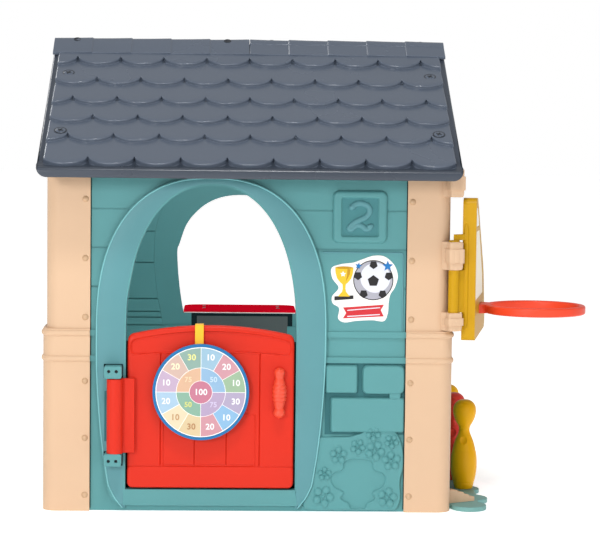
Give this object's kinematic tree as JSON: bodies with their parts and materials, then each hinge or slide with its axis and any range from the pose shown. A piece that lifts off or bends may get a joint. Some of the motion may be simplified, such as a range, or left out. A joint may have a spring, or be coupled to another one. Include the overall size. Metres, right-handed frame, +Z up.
{
  "type": "playhouse",
  "caption": "Free-standing children's plastic playhouse with a gabled shingle roof, an outward half door with a lift-off target board, a swing-out hoop board, skittles and a rear counter.",
  "frame": {"origin": "on the ground, at the middle of the rectangle of the four corner posts", "axes": "+X to the right as seen from in front of the door, +Y from the door towards the back wall, +Z up"},
  "size_m": [1.4118, 1.219, 1.2119],
  "materials": {
    "slate_plastic": "satin blow-moulded plastic, slate grey",
    "teal_plastic": "satin moulded plastic, light teal",
    "beige_plastic": "satin moulded plastic, warm beige",
    "red_plastic": "satin moulded plastic, orange red",
    "crimson_plastic": "satin moulded plastic, crimson",
    "yellow_plastic": "satin moulded plastic, golden yellow",
    "blue_plastic": "satin moulded plastic, blue",
    "white_sheet": "printed plastic sheet",
    "cream_sheet": "printed plastic sheet",
    "screw_plastic": "satin plastic screws",
    "steel": "plain steel"
  },
  "bodies": {
    "house": {"back_rivets": "beige_plastic", "back_wall": "teal_plastic", "counter": "crimson_plastic", "counter_screws": "steel", "counter_support_left": "crimson_plastic", "counter_support_right": "crimson_plastic", "door_hinge_pin": "steel", "foot_wedge": "beige_plastic", "front_rivets": "beige_plastic", "front_wall": "teal_plastic", "hinge_block_lower": "teal_plastic", "hinge_block_screws": "screw_plastic", "hinge_block_upper": "teal_plastic", "left_rivets": "beige_plastic", "left_wall": "teal_plastic", "lower_clip": "beige_plastic", "lower_post_back_left": "beige_plastic", "lower_post_back_right": "beige_plastic", "lower_post_front_left": "beige_plastic", "lower_post_front_right": "beige_plastic", "middle_clip": "beige_plastic", "pin_plate": "teal_plastic", "ridge_cap_left": "slate_plastic", "ridge_cap_right": "slate_plastic", "ridge_screws": "screw_plastic", "right_rivets": "beige_plastic", "right_wall": "teal_plastic", "roof_back": "slate_plastic", "roof_front": "slate_plastic", "roof_screws": "screw_plastic", "spare_clip": "beige_plastic", "upper_post_back_left": "beige_plastic", "upper_post_back_right": "beige_plastic", "upper_post_front_left": "beige_plastic", "upper_post_front_right": "beige_plastic"},
    "door": {"door_leaf": "red_plastic", "hinge_knuckle": "red_plastic", "door_grip": "red_plastic", "grip_screws": "steel"},
    "dartboard": {"dart_tray": "blue_plastic", "dart_sheet": "white_sheet", "dart_strap": "yellow_plastic"},
    "hoop_board": {"hoop_board": "yellow_plastic", "board_sheet_lower": "cream_sheet", "board_sheet_upper": "white_sheet", "hoop_ring": "red_plastic", "ring_screws": "steel"},
    "pin_at_front": {"front_pin": "yellow_plastic"},
    "pin_in_middle": {"middle_pin": "red_plastic"},
    "pin_at_back": {"back_pin": "yellow_plastic"}
  },
  "joints": [
    {"name": "door_swing", "type": "hinge", "parent": "house", "child": "door", "pos_m": [-0.335, -0.5035, 0.2465], "axis": [0, 0, -1], "range_deg": [0, 110]},
    {"name": "dartboard_lift", "type": "slide", "parent": "door", "child": "dartboard", "axis": [0, 0, 1], "range_m": [0, 0.06]},
    {"name": "hoop_board_swing", "type": "hinge", "parent": "house", "child": "hoop_board", "pos_m": [0.518, -0.483, 0.58], "axis": [0, 0, -1], "range_deg": [-10, 80]},
    {"name": "front_pin_lift", "type": "slide", "parent": "house", "child": "pin_at_front", "axis": [0, 0, 1], "range_m": [0, 0.18]},
    {"name": "middle_pin_lift", "type": "slide", "parent": "house", "child": "pin_in_middle", "axis": [0, 0, 1], "range_m": [0, 0.18]},
    {"name": "back_pin_lift", "type": "slide", "parent": "house", "child": "pin_at_back", "axis": [0, 0, 1], "range_m": [0, 0.18]}
  ]
}
